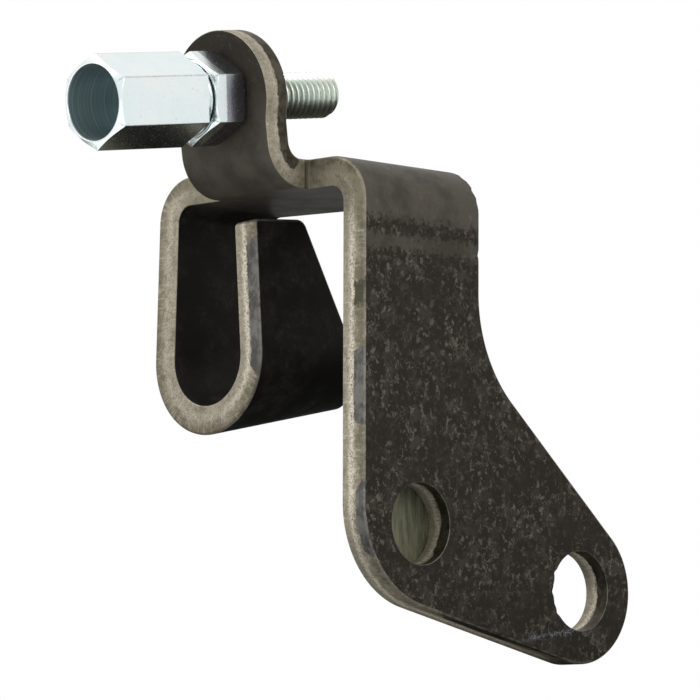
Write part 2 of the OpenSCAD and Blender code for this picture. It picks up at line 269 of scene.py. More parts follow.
def edge_profile(roll):
    """Offset outwards, place in the thickness, tilt of the normal and edge mask.

    A quarter circle of radius roll, a straight wall, a quarter circle of radius
    BURR. The tilt is 90 degrees on the outer face and -90 on the inner one.
    """
    up = np.radians([90, 90, 75, 60, 45, 30, 15, 0])
    down = np.radians([0, -30, -60, -90, -90])
    wall = np.linspace(HALF - roll, BURR - HALF, 7)[1:-1]
    off = np.concatenate([[-roll - INSET], roll * (np.cos(up[1:]) - 1), 0 * wall,
                          BURR * (np.cos(down[:-1]) - 1), [-BURR - BURR_INSET]])
    place = np.concatenate([[HALF], HALF - roll * (1 - np.sin(up[1:])), wall,
                            BURR - HALF + BURR * np.sin(down[:-1]), [-HALF]])
    tilt = np.concatenate([up, 0 * wall, down])
    return off, place, tilt, np.cos(tilt)


def inside(p, rings):
    """Even-odd test of points against closed rings, as one array per ring."""
    odd = np.zeros(len(p), bool)
    for ring in rings:
        a, b = ring, np.roll(ring, -1, 0)
        over = (a[:, 1] > p[:, 1, None]) != (b[:, 1] > p[:, 1, None])
        with np.errstate(divide="ignore", invalid="ignore"):
            x = a[:, 0] + (p[:, 1, None] - a[:, 1]) * (b[:, 0] - a[:, 0]) / (b[:, 1] - a[:, 1])
        odd ^= (over & (p[:, 0, None] < x)).sum(1) % 2 == 1
    return odd


def blank_grid():
    """Rows of points over the blank, close together where the strip is bent."""
    rows = [np.arange(-78, 0, 2.0), np.linspace(0, S_WEB, 19),
            np.arange(S_WEB + 1.5, S_BEND2, 1.5),
            np.linspace(S_BEND2, S_WALL, 19), np.arange(S_WALL + 2, S_HOOK - 1, 2.0),
            np.linspace(S_HOOK, S_LEG, 47), np.arange(S_LEG + 1.5, S_LEG + 24, 1.5)]
    strip = np.meshgrid(np.concatenate(rows), np.arange(FRONT + 0.4, 14, 1.5), indexing="ij")
    q = np.concatenate([[-1.2, -0.6], np.linspace(0, TAB_ARC, 19),
                        np.arange(TAB_ARC + 1.2, 29, 1.2)])
    tab = np.meshgrid(np.arange(HOLE_S - TAB_R, HOLE_S + TAB_R, 1.2), TAB_Y - q, indexing="ij")
    return np.concatenate([np.stack([s.ravel(), y.ravel()], 1) for s, y in (strip, tab)])


def skin(rings, keep=0.45):
    """Triangles of the flat skin: grid points keep mm inside, joined to the rings."""
    grid = blank_grid()
    edge = np.concatenate(rings)
    near = np.concatenate([((part[:, None] - edge) ** 2).sum(2).min(1)
                           for part in np.array_split(grid, 12)])
    grid = grid[inside(grid, rings) & (near > keep ** 2)]
    points = np.concatenate([edge, grid])
    start = np.cumsum([0] + [len(r) for r in rings])
    joins = [(int(a + i), int(a + (i + 1) % (b - a))) for a, b in zip(start, start[1:])
             for i in range(b - a)]
    cut = delaunay_2d_cdt([Vector(p) for p in points], joins, [], 0, 1e-7)
    faces, source = np.array(cut[2]), np.array([old[0] for old in cut[3]])
    tris = source[faces]
    tris = tris[inside(points[tris].mean(1), rings)]
    a, b, c = points[tris[:, 0]], points[tris[:, 1]], points[tris[:, 2]]
    area = (b - a)[:, 0] * (c - a)[:, 1] - (b - a)[:, 1] * (c - a)[:, 0]
    tris = np.where((area > 0)[:, None], tris, tris[:, ::-1])
    return points, tris[np.abs(area) > 1e-9]


# %% Put the skins and the edges together
def add_object(name, data):
    """A new object in the scene's collection."""
    obj = bpy.data.objects.new(name, data)
    bpy.context.collection.objects.link(obj)
    return obj


def build_piece(name, co, faces, normals=None, **layers):
    """A mesh object at the origin from points in millimetres and index rows."""
    mesh = bpy.data.meshes.new(name)
    mesh.from_pydata(co * MM, [], faces)
    mesh.polygons.foreach_set("use_smooth", np.ones(len(mesh.polygons), bool))
    for layer, values in layers.items():
        if values.ndim == 2:
            corner = np.zeros(len(mesh.loops), np.int32)
            mesh.loops.foreach_get("vertex_index", corner)
            mesh.uv_layers.new(name=layer).data.foreach_set("uv", values[corner].ravel())
        else:
            mesh.attributes.new(layer, "FLOAT", "POINT").data.foreach_set("value", values)
    if normals is not None:
        mesh.normals_split_custom_set_from_vertices(normals)
    print(name, len(mesh.vertices), "points", len(mesh.polygons), "faces")
    return add_object(name, mesh)


def window(v, low, high, soft=0.8):
    """1 between low and high, with straight flanks soft mm wide, and 0 outside."""
    return np.clip(np.minimum(v - low, high - v) / soft + 0.5, 0, 1)


def slid_stretches(s, y):
    """How far the polished band reaches over the edge: 0 nowhere, 1 to its middle.

    It lies in three stretches of the front edge, on the tab, in both bolt holes
    and, in uneven runs, along the back edge.
    """
    front = np.clip((FRONT + 3 - y) / 1.0, 0, 1)
    leg_top = leg_s(LEG_TOP, FRONT)
    on_front = (window(s, -37.6, -25.0) + window(s, -62, -47.5, 2.5) * 0.8
                + window(s, S_LEG - 3.5, leg_top - 3.4, 1.5))
    tab_reach = np.clip((FRONT - 2 - y) / 1.5, 0, 1) * 1.15
    reach = front * on_front + tab_reach
    for hole, share in ((FRONT_HOLE, 0.72), (LOBE_HOLE, 0.8)):
        reach += (np.hypot(s - hole[0], y - hole[1]) < HOLE_R + 1.6) * share
    uneven = 0.5 + 0.4 * np.sin(s / 6.1 + 1.3 * np.sin(s / 2.9))
    return np.clip(reach + np.clip((y - FRONT - 18) / 3, 0, 1) * uneven, 0, 1)


def make_bracket():
    """The strip: an edge band along every loop, two skins between, bent at the end.

    A point of the blank goes to mid(s, y) + side * place, and its normal turns
    from the face's normal to the outline's by the profile's tilt.
    """
    ring_parts, parts, faces, base = [], [], [], 0
    for (p, n), roll in zip(loops, [ROLL] + [HOLE_ROLL] * len(holes)):
        off, place, tilt, edge = edge_profile(roll)
        flat = p[None] + off[:, None, None] * n[None]
        k, m = flat.shape[:2]
        idx = base + np.arange(k * m).reshape(k, m)
        ring_parts.append((idx, flat))
        parts.append((flat.reshape(-1, 2), np.repeat(place, m), np.repeat(tilt, m),
                      np.tile(n, (k, 1)), np.repeat(edge, m)))
        a, b = idx[:-1], idx[1:]
        a2, b2 = np.roll(a, -1, 1), np.roll(b, -1, 1)
        quads = np.stack([a, b, b2, a2], 2).reshape(-1, 4)
        faces += quads[:, ::-1].tolist()
        base += k * m
    for row, at, way in ((0, HALF, 1), (-1, -HALF, -1)):
        rings = [flat[row] for _, flat in ring_parts]
        points, tris = skin(rings)
        edge_n = sum(len(r) for r in rings)
        fresh = points[edge_n:]
        known = np.concatenate([idx[row] for idx, _ in ring_parts])
        table = np.concatenate([known, base + np.arange(len(fresh))])
        faces += (table[tris] if way < 0 else table[tris][:, ::-1]).tolist()
        one = np.ones(len(fresh))
        parts.append((fresh, at * one, way * np.pi / 2 * one, 0 * fresh, 0 * one))
        base += len(fresh)
    flat, place_v, tilt_v, n, edge_v = (np.concatenate([p[i] for p in parts]) for i in range(5))
    mid, side, along, across = bend(flat[:, 0], flat[:, 1])
    co = mid + side * place_v[:, None]
    out = along * n[:, :1] + across * n[:, 1:]
    face_n = np.cross(across, along)
    face_n /= np.linalg.norm(face_n, axis=1)[:, None]
    normal = out * np.cos(tilt_v)[:, None] + face_n * np.sin(tilt_v)[:, None]
    return build_piece("bracket_skin", co, faces, normal, Blank=flat * MM, edge=edge_v,
                       thick=place_v / HALF, slid=slid_stretches(flat[:, 0], flat[:, 1]))


bracket = make_bracket()
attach(bracket, "bracket")
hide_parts("bracket")


# %% [markdown]
# ## Turned and hexagonal parts
# The adjuster and its nut are cut from hexagonal bar on a lathe. Their surface
# is a grid of rows down a profile and columns round the axis. In each column the
# hexagon gives its own radius, and a chamfer is a cone that cuts the corners, so
# the row where the two meet is placed at exactly that height in each column.

# %% The adjuster's axis
AXIS_DIR = np.array([0.0, np.cos(TAB_LEAN), np.sin(TAB_LEAN)])  # to the rear
AXIS_UP = np.array([0.0, -np.sin(TAB_LEAN), np.cos(TAB_LEAN)])
AXIS_SIDE = np.array([1.0, 0.0, 0.0])
AXIS_AT = np.array([AXIS_X, TAB_Y - OUTER * np.sin(TAB_TURN),
                    TAB_Z - OUTER * np.cos(TAB_TURN)]) + TAB_RISE * AXIS_UP
HEX_TURN = np.radians(-5.7)    # turn of the first flat's middle
FLAT, CORNER = 7.0, 0.22       # half of the width across flats, its rounded corners
CONE = np.tan(np.radians(30))  # length of a chamfer for each mm of its radius
print("axis at the tab's front face:", AXIS_AT.round(3))


def on_axis(r, z, turn):
    """Points at radius r, distance z to the rear and angle turn round the axis."""
    radial = np.cos(turn)[..., None] * AXIS_SIDE + np.sin(turn)[..., None] * AXIS_UP
    return AXIS_AT + r[..., None] * radial + z[..., None] * AXIS_DIR


def hex_radius(turn, flat=FLAT, corner=CORNER):
    """Radius of a hexagon with slightly rounded corners at the angle turn.

    On a flat it is flat / cos(t), t from the flat's middle. Near a corner it is
    where the ray meets a circle of radius corner that touches both flats.
    """
    t = np.abs((turn - HEX_TURN + np.pi / 6) % (np.pi / 3) - np.pi / 6)
    centre = (flat - corner) / np.cos(np.pi / 6)
    meets = np.arctan2(centre * np.sin(np.pi / 6), flat)
    off = np.pi / 6 - t
    arc = centre * np.cos(off) + np.sqrt(np.maximum(corner ** 2 - (centre * np.sin(off)) ** 2, 0))
    return np.where(t < meets, flat / np.cos(t), arc)


def hex_columns(per_flat=10, per_corner=7):
    """Angles round the axis, close together at the six corners."""
    half = np.pi / 6
    meets = np.arctan2((FLAT - CORNER) * np.tan(half), FLAT)
    one = np.concatenate([[-meets], np.linspace(0.012 - meets, meets - 0.012, per_flat),
                          np.linspace(meets, np.pi / 3 - meets, per_corner)[:-1]])
    return (np.arange(6)[:, None] * np.pi / 3 + one + HEX_TURN).ravel()


def torus_faces(rows, columns):
    """Quads of a grid that closes both down its rows and round its columns."""
    a = np.arange(rows * columns).reshape(rows, columns)
    b = np.roll(a, -1, 0)
    return np.stack([a, b, np.roll(b, -1, 1), np.roll(a, -1, 1)], 2).reshape(-1, 4).tolist()


def turned(name, r, z, turn, ridge, inner, sharp=30):
    """A closed piece from radii and distances on a grid of rows and columns.

    The mask after turn marks the corners that wear, and on the thread the grooves
    that get a painted shade; inner marks the walls of the bore, and along is the
    distance down the axis, for the lathe's rings.
    """
    faces = torus_faces(*r.shape)
    turn = np.broadcast_to(turn, r.shape)
    obj = build_piece(name, on_axis(r, z, turn).reshape(-1, 3), faces, ridge=ridge.ravel(),
                      inner=inner.ravel() * 1.0, along=z.ravel())
    obj.data.set_sharp_from_angle(angle=np.radians(sharp))
    return obj


def hex_rows(turn, z0, z1, tip, rear):
    """Rows over a chamfered bar: cone, flats, cone, and their rounded meeting.

    A cone's radius grows from the radius at its end face by 1 / CONE for each mm
    of length, so it meets the hexagon at z0 + (radius - tip) * CONE. A cone that
    would start outside the hexagon leaves a plain cut end.
    """
    radius = hex_radius(turn)
    rows = []
    for start in (tip, np.minimum(rear, radius - 0.06)):
        depth = (radius - start) * CONE
        part = np.array([0, 0.5, 0.85, 0.97])[:, None]
        flat_z = depth + 0.12 * np.array([0.3, 1.0])[:, None] * (radius - start + 0.3)
        rows.append((start + part * (radius - start), part * depth, flat_z))
    (cone_r, cone_z, flat_z), (back_r, back_z, end_z) = rows
    middle = np.array([0.1, 0.5, 0.9])[:, None] * (z1 - z0 - flat_z[1] - end_z[1]) + flat_z[1]
    r = np.concatenate([cone_r, radius + 0 * flat_z, radius + 0 * middle,
                        radius + 0 * end_z, back_r[::-1]])
    z = np.concatenate([z0 + cone_z, z0 + flat_z, z0 + middle,
                        z1 - end_z[::-1], z1 - back_z[::-1]])
    return r, z


def hex_ridge(turn, r):
    """1 on the rounded corners of the hexagon, 0 on its flats and inside it."""
    meets = np.hypot(FLAT, (FLAT - CORNER) * np.tan(np.pi / 6))
    return ((hex_radius(turn) > meets - 0.003) & (r > FLAT)) * 1.0


def ring_rows(turn, pairs):
    """Rows of plain circles: pairs of radius and distance."""
    p = np.array(pairs, float)
    return p[:, :1] + 0 * turn, p[:, 1:] + 0 * turn


def hex_piece(name, ends, cones, rings, in_bore):
    """A closed hexagonal piece: chamfered outside, then rings through its bore."""
    turn = hex_columns()
    r, z = np.concatenate([hex_rows(turn, *ends, *cones), ring_rows(turn, rings)], 1)
    return turned(name, r, z, turn, hex_ridge(turn, r), in_bore(r, z))


# %% Lock nut
NUT_REAR, NUT_T = -0.05, 7.2  # its rear face, just clear of the tab, and its length
NUT_FRONT = NUT_REAR - NUT_T
NUT_TIP, NUT_BACK = 6.95, 7.3  # where its two chamfer cones start
WASHER, WASHER_R = 0.6, 6.5    # the round face that bears on the tab
BORE, LEAD = 4.05, 0.5         # its bore and the bore's countersink
washer_z = NUT_REAR - WASHER
nut = hex_piece("lock_nut_hex", (NUT_FRONT, washer_z), (NUT_TIP, NUT_BACK), [
    [WASHER_R + 0.05, washer_z], [WASHER_R, washer_z + 0.08], [WASHER_R, NUT_REAR - 0.1],
    [WASHER_R - 0.1, NUT_REAR], [5.6, NUT_REAR], [BORE + LEAD, NUT_REAR],
    [BORE, NUT_REAR - LEAD], [BORE, NUT_REAR - 2], [BORE, NUT_FRONT + 2],
    [BORE, NUT_FRONT + LEAD], [BORE + LEAD, NUT_FRONT], [5.6, NUT_FRONT], [6.6, NUT_FRONT]],
    lambda r, z: r < BORE + 0.6)
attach(nut, "nut")
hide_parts("lock_nut")

# %% Barrel
BARREL_REAR = NUT_FRONT - 0.3
BARREL_FRONT = BARREL_REAR - 21.3
COLLAR, COLLAR_R = 1.5, 6.55  # the round collar at its rear
SOCKET_R, SOCKET_FLOOR = 6.3, BARREL_FRONT + 16.4
JOURNAL = 3.275    # radius of the bore that the stem fills
FACE_R = 6.62      # outer radius of the ring round the socket
BARREL_BACK = 9.0  # beyond the corners: a plain cut end, no rear chamfer
collar_z = BARREL_REAR - COLLAR
barrel = hex_piece("adjuster_barrel_hex", (BARREL_FRONT, collar_z), (FACE_R, BARREL_BACK), [
    [COLLAR_R + 0.05, collar_z], [COLLAR_R, collar_z + 0.08],
    [COLLAR_R, BARREL_REAR - 0.3], [COLLAR_R - 0.08, BARREL_REAR - 0.1],
    [COLLAR_R - 0.25, BARREL_REAR], [5.5, BARREL_REAR], [JOURNAL + 0.1, BARREL_REAR],
    [JOURNAL, BARREL_REAR - 0.1], [JOURNAL, SOCKET_FLOOR + 0.1], [JOURNAL + 0.1, SOCKET_FLOOR],
    [4.6, SOCKET_FLOOR], [SOCKET_R - 0.2, SOCKET_FLOOR], [SOCKET_R - 0.05, SOCKET_FLOOR - 0.06],
    [SOCKET_R, SOCKET_FLOOR - 0.3], [SOCKET_R, SOCKET_FLOOR - 5], [SOCKET_R, SOCKET_FLOOR - 10],
    [SOCKET_R, BARREL_FRONT + 0.5], [SOCKET_R + 0.02, BARREL_FRONT + 0.2],
    [SOCKET_R + 0.1, BARREL_FRONT + 0.04], [SOCKET_R + 0.18, BARREL_FRONT],
    [FACE_R - 0.06, BARREL_FRONT]],
    lambda r, z: (r < SOCKET_R + 0.04) & (z < SOCKET_FLOOR + 0.2))
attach(barrel, "barrel")
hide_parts("adjuster_barrel")

# %% [markdown]
# ## The rolled thread
# A rolled thread is a ridge that climbs one pitch for each turn. With the
# radius as a function of height and angle, the ridge's phase is the height less
# the share of a pitch that the angle has turned, so a plain grid shows a true
# helix with no seam. The cone at the tip is the smaller of the two radii.

# %% Threaded stem
PITCH, MAJOR, TAIL = 1.25, 4.0, 25.6  # the thread's pitch, radius and free end
CABLE_R, SHANK_R = 2.1, 3.225         # the inner cable's bore, and the plain shank
ROOT = MAJOR - 0.54 * PITCH
STEM_FRONT = SOCKET_FLOOR + 0.01


def thread_radius(z, turn):
    """Radius of a rounded 60 degree thread at distance z and angle turn.

    The phase runs from -1/2 to 1/2 over a pitch; the radius falls in a straight
    line from a flat crest to a rounded root.
    """
    phase = (z / PITCH + turn / (2 * np.pi) + 0.5) % 1 - 0.5
    fall = np.clip((np.abs(phase) - 0.07) / (0.5 - 0.07), 0, 1)
    fall = np.where(fall > 0.8, 0.8 + 0.2 * np.sin((fall - 0.8) / 0.2 * np.pi / 2) * 0.7, fall)
    return MAJOR - (MAJOR - ROOT) * fall / 0.94


columns = 2 * np.pi * np.arange(96) / 96
z_thread = np.arange(BARREL_REAR + 0.1, TAIL - 0.02, PITCH / 16)[:, None] + 0 * columns
tip_cone = MAJOR - 1.1 + (TAIL - z_thread) / 0.9
start_cone = ROOT - 0.05 + (z_thread - z_thread[0]) * 0.6
r_thread = np.minimum(np.minimum(thread_radius(z_thread, columns), tip_cone), start_cone)
r_0, z_0 = ring_rows(columns, [
    [CABLE_R, STEM_FRONT], [3.1, STEM_FRONT], [SHANK_R, STEM_FRONT + 0.1],
    [SHANK_R, BARREL_REAR - 0.1], [SHANK_R, BARREL_REAR + 0.05]])
r_1, z_1 = ring_rows(columns, [
    [2.75, TAIL], [2.3, TAIL], [CABLE_R, TAIL - 0.2], [CABLE_R, TAIL - 4], [CABLE_R, 0],
    [CABLE_R, STEM_FRONT + 3]])
r_all = np.concatenate([r_0, r_thread, r_1])
CREST = MAJOR - 0.12  # below it the thread's flank starts to darken
# Painted shade in the thread's grooves: the flank darkens below the crest.
painted_root_shade = np.clip((CREST - r_all) / (CREST - ROOT), 0, 1) * (r_all > ROOT - 0.1)
stem = turned("adjuster_stem_thread", r_all, np.concatenate([z_0, z_thread, z_1]), columns,
              painted_root_shade, r_all < CABLE_R + 0.1, sharp=50)
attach(stem, "stem")
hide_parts("adjuster_stem")


# %% [markdown]
# ## Node helpers
# A finish is a graph of nodes. Short helpers place a node, a band or a blend,
# so that each material below reads as a list of what it mixes.

# %% Place a node, start a group, start a material
def place(tree, kind, inputs=None, **settings):
    """Add one node; inputs maps a socket's name or number to a value or a link."""
    n = tree.nodes.new(kind)
    for key, value in settings.items():
        setattr(n, key, value)
    for key, value in (inputs or {}).items():
        if isinstance(value, bpy.types.NodeSocket):
            tree.links.new(value, n.inputs[key])
        else:
            n.inputs[key].default_value = value
    return n


def maths(tree, operation, a, b=0.0, c=0.0):
    """One Math node's result."""
    return place(tree, "ShaderNodeMath", {0: a, 1: b, 2: c}, operation=operation).outputs[0]


def times(tree, value, *factors):
    """The product of a value and one or more factors."""
    for factor in factors:
        value = maths(tree, "MULTIPLY", value, factor)
    return value


def wander(tree, value, noise_value, reach, offset):
    """value + offset + reach * noise, which makes a border at a value ragged."""
    return maths(tree, "MULTIPLY_ADD", noise_value, reach, maths(tree, "ADD", value, offset))


def ramp(tree, value, low, high, to_low=0.0, to_high=1.0):
    """A smooth step from to_low to to_high between two values."""
    return place(tree, "ShaderNodeMapRange", {0: value, 1: low, 2: high, 3: to_low, 4: to_high},
                 interpolation_type="SMOOTHSTEP").outputs[0]


def band(tree, value, start, full, fade, end):
    """0, up to 1 from start to full, and down to 0 again from fade to end."""
    return times(tree, ramp(tree, value, start, full), ramp(tree, value, fade, end, 1.0, 0.0))


def near_zero(tree, value, near, far, most=1.0):
    """most where the value is within near of 0, and 0 where it is past far."""
    return ramp(tree, maths(tree, "ABSOLUTE", value), near, far, most, 0.0)


def blend(tree, factor, a, b):
    """The colour between a and b."""
    n = place(tree, "ShaderNodeMix", data_type="RGBA")
    for socket, value in ((n.inputs[0], factor), (n.inputs[6], a), (n.inputs[7], b)):
        if isinstance(value, bpy.types.NodeSocket):
            tree.links.new(value, socket)
        else:
            socket.default_value = value if isinstance(value, float) else (*value, 1.0)
    return n.outputs[2]


def noise(tree, vector, scale, output="Fac", **inputs):
    """A noise texture's output; inputs are its Detail, Roughness and Distortion."""
    return place(tree, "ShaderNodeTexNoise",
                 {"Vector": vector, "Scale": scale, **inputs}).outputs[output]


def group(name, floats, result):
    """A shader node group with a Vector and the named floats in, and one float out."""
    tree = bpy.data.node_groups.new(name, "ShaderNodeTree")
    tree.interface.new_socket("Vector", in_out="INPUT", socket_type="NodeSocketVector")
    for socket, value in floats.items():
        s = tree.interface.new_socket(socket, in_out="INPUT", socket_type="NodeSocketFloat")
        s.default_value = value
    tree.interface.new_socket(result, in_out="OUTPUT", socket_type="NodeSocketFloat")
    return tree, tree.nodes.new("NodeGroupInput").outputs


def give(tree, value):
    """Link a value to a group's one output."""
    tree.links.new(value, tree.nodes.new("NodeGroupOutput").inputs[0])


def material(name, **shader):
    """A material with its Principled BSDF; shader holds the plain constants."""
    m = bpy.data.materials.new(name)
    m.use_nodes = True
    bsdf = m.node_tree.nodes["Principled BSDF"]
    for key, value in shader.items():
        bsdf.inputs[key.replace("_", " ")].default_value = value
    return m, m.node_tree, bsdf


def dress(tree, bsdf, colour, roughness, height, strength, distance):
    """Link a colour, a roughness and a bump of the given height to the shader."""
    bump = place(tree, "ShaderNodeBump",
                 {"Strength": strength, "Distance": distance, "Height": height})
    tree.links.new(colour, bsdf.inputs["Base Color"])
    tree.links.new(roughness, bsdf.inputs["Roughness"])
    tree.links.new(bump.outputs[0], bsdf.inputs["Normal"])


def in_mm(tree, node, output):
    """A coordinate node's output, in millimetres."""
    return place(tree, "ShaderNodeVectorMath", {0: node.outputs[output], 1: (1000, 1000, 1000)},
                 operation="MULTIPLY").outputs[0]


def attribute(tree, name):
    """A float attribute of the piece's own mesh."""
    return place(tree, "ShaderNodeAttribute", attribute_name=name).outputs["Fac"]


# %% [markdown]
# ## Shared effects
# Hot-rolled steel, zinc and ground steel all share the same few faults: patches
# with ragged borders, thin bright marks where something rubbed, and a fine
# grain. Each is one group, and every material gives it its own scale and reach.

# %% Patches, rub marks and grain
PATCHES, io = group("ragged patches", {"Per mm": 0.2, "Level": 0.5, "Softness": 0.05}, "Mask")
uneven = noise(PATCHES, io["Vector"], io["Per mm"], Detail=9.0, Roughness=0.66, Distortion=0.25)
give(PATCHES, ramp(PATCHES, uneven, maths(PATCHES, "SUBTRACT", io["Level"], io["Softness"]),
                   maths(PATCHES, "ADD", io["Level"], io["Softness"])))

RUBS, io = group("rub marks", {"Per mm": 0.3, "Width": 0.06, "Spread": 0.5}, "Mask")
wobble = noise(RUBS, io["Vector"], 0.45, "Color", Detail=5.0, Roughness=0.6)
moved = place(RUBS, "ShaderNodeVectorMath", {0: wobble, 1: (5.0, 5.0, 5.0), 2: io["Vector"]},
              operation="MULTIPLY_ADD").outputs[0]
cells = place(RUBS, "ShaderNodeTexVoronoi", {"Vector": moved, "Scale": io["Per mm"]},
              feature="DISTANCE_TO_EDGE").outputs["Distance"]
where = noise(RUBS, io["Vector"], 0.28, Detail=6.0, Roughness=0.7)
broken = ramp(RUBS, maths(RUBS, "ADD", where, times(RUBS, io["Spread"], 0.3)), 0.62, 0.74)
give(RUBS, times(RUBS, ramp(RUBS, cells, 0.0, io["Width"], 1.0, 0.0), broken))

GRAIN, io = group("fine grain", {"Per mm": 2.0, "Detail": 4.0}, "Value")
give(GRAIN, noise(GRAIN, io["Vector"], io["Per mm"], Detail=io["Detail"], Roughness=0.7))


def grouped(tree, effect, vector, **floats):
    """A shared group's result in a material; per_mm stands for its input Per mm."""
    inputs = {key.capitalize().replace("_", " "): value for key, value in floats.items()}
    inputs["Vector"] = vector
    return place(tree, "ShaderNodeGroup", inputs, node_tree=effect).outputs[0]


print("groups:", [g.name for g in bpy.data.node_groups])


# %% [markdown]
# ## Mill scale and sheared edges
# Hot rolling leaves a near-black oxide. It is smooth and a little lighter where
# the bend stretched it and in a band that the bending die rubbed, and elsewhere
# mottled with small pale rubs. The sheared edge is bare: pale and grainy where
# it tore, and dark and polished where the blade slid past, in some stretches.
# The blank's own coordinates tell the bands apart, and three attributes of the
# mesh say how far a point lies round the edge, where it lies in the thickness,
# and how far the polished band reaches over the edge there.

# %% The strip's material
SCALE_DARK, SCALE_PALE = (0.0165, 0.0137, 0.0098), (0.11, 0.097, 0.08)
# Painted shade inside the hook: a nearly black scale from the wall down.
HOOK_SHADE_PAINT = (0.0018, 0.0016, 0.0012)  # nearly black, from the wall down to the hook
SPARK, SCRAPE = (0.3, 0.29, 0.26), (0.2, 0.22, 0.25)
TORN_INNER, TORN_OUTER = (0.34, 0.305, 0.235), (0.165, 0.143, 0.098)
# Painted highlights: a bright line along the sheared edge, and a lighter rim where the faces meet
# it.
EDGE_HIGHLIGHT_PAINT, RIM_HIGHLIGHT_PAINT = (0.76, 0.7, 0.57), (0.22, 0.21, 0.185)
BITE, ROOT_SHADE = (0.055, 0.055, 0.033), (0.04, 0.036, 0.022)
# A painted olive reflection of the surroundings, in two tones, for the edge between the bends.
OLIVE_REFLECTION_PAINT = (0.055, 0.05, 0.028), (0.2, 0.185, 0.12)
POLISHED_FRONT = (0.075, 0.071, 0.066), (0.172, 0.163, 0.152)
POLISHED_ELSEWHERE = (0.028, 0.024, 0.016), (0.075, 0.067, 0.048)


def mill_scale(t, p, s, y, fine, ragged, cloud):
    """Colour of the rolled faces, and how light their scale is.

    Light is the largest of mottle, specks, rubs and the smooth zone round the
    bend, where s passes 0, with the die's band about 5 to 8 mm below it.
    """
    mottle = grouped(t, PATCHES, p, per_mm=0.35, level=0.53, softness=0.05)
    speck = grouped(t, PATCHES, p, per_mm=0.85, level=0.575, softness=0.035)
    spark = grouped(t, PATCHES, p, per_mm=2.3, level=0.72, softness=0.02)
    rubs = grouped(t, RUBS, p, per_mm=0.3, width=0.06, spread=0.55)
    torn_s = wander(t, s, ragged, 8.0, -2.0)
    die_band = band(t, torn_s, -6.4, -5.4, -3.6, -3.0)
    smooth = maths(t, "MAXIMUM", ramp(t, torn_s, -1.8, 0.2), times(t, die_band, 0.8))
    smooth = times(t, smooth, ramp(t, s, 12.0, 30.0, 1.0, 0.75),
                   ramp(t, cloud, 0.35, 0.6, 0.55, 1.0),
                   ramp(t, y, FRONT - 26.0, FRONT - 8.0, 0.15, 1.0))
    light = maths(t, "MAXIMUM", times(t, mottle, 0.18), times(t, rubs, 0.62))
    light = maths(t, "MAXIMUM", light, times(t, speck, 0.75))
    light = times(t, light, ramp(t, cloud, 0.38, 0.6, 0.25, 1.2))
    # the tab has fainter marks, and a plain grey that fades towards its top
    on_tab = ramp(t, y, FRONT - 6.0, FRONT, 1.0, 0.0)
    light = times(t, light, maths(t, "SUBTRACT", 1.0, times(t, on_tab, 0.65)))
    tab_grey = ramp(t, y, FRONT - 26.0, FRONT - 12.0, 0.02, 0.16)
    light = maths(t, "MULTIPLY_ADD", on_tab, tab_grey, light)
    light = maths(t, "MAXIMUM", light, times(t, smooth, 0.6))
    scale = blend(t, light, SCALE_DARK, SCALE_PALE)
    # painted shade: from the wall down into the hook the scale turns nearly black
    painted_hook_shade = times(t, ramp(t, s, 36.0, 50.0), ramp(t, cloud, 0.45, 0.7, 0.9, 0.68))
    scale = blend(t, painted_hook_shade, scale, HOOK_SHADE_PAINT)
    scale = blend(t, times(t, spark, 0.6), scale, SPARK)
    # a pale scrape in front of the lobe's hole, as a band round a short line
    line = maths(t, "MULTIPLY_ADD", y, -0.15, maths(t, "ADD", s, 70.1))
    scrape = times(t, near_zero(t, wander(t, line, ragged, 5.0, -2.5), 0.15, 0.6),
                   ramp(t, fine, 0.42, 0.6), band(t, y, -16.0, -11.0, -3.0, 0.0))
    return blend(t, times(t, scrape, 0.75), scale, SCRAPE), light


def edge_grain(t, s, y, thick, along, through, detail):
    """Grain drawn out along the sheared edge, by its scales along and through it."""
    at = place(t, "ShaderNodeCombineXYZ", {0: times(t, s, along), 1: times(t, y, along),
                                           2: times(t, thick, through)}).outputs[0]
    return grouped(t, GRAIN, at, per_mm=1.0, detail=detail)


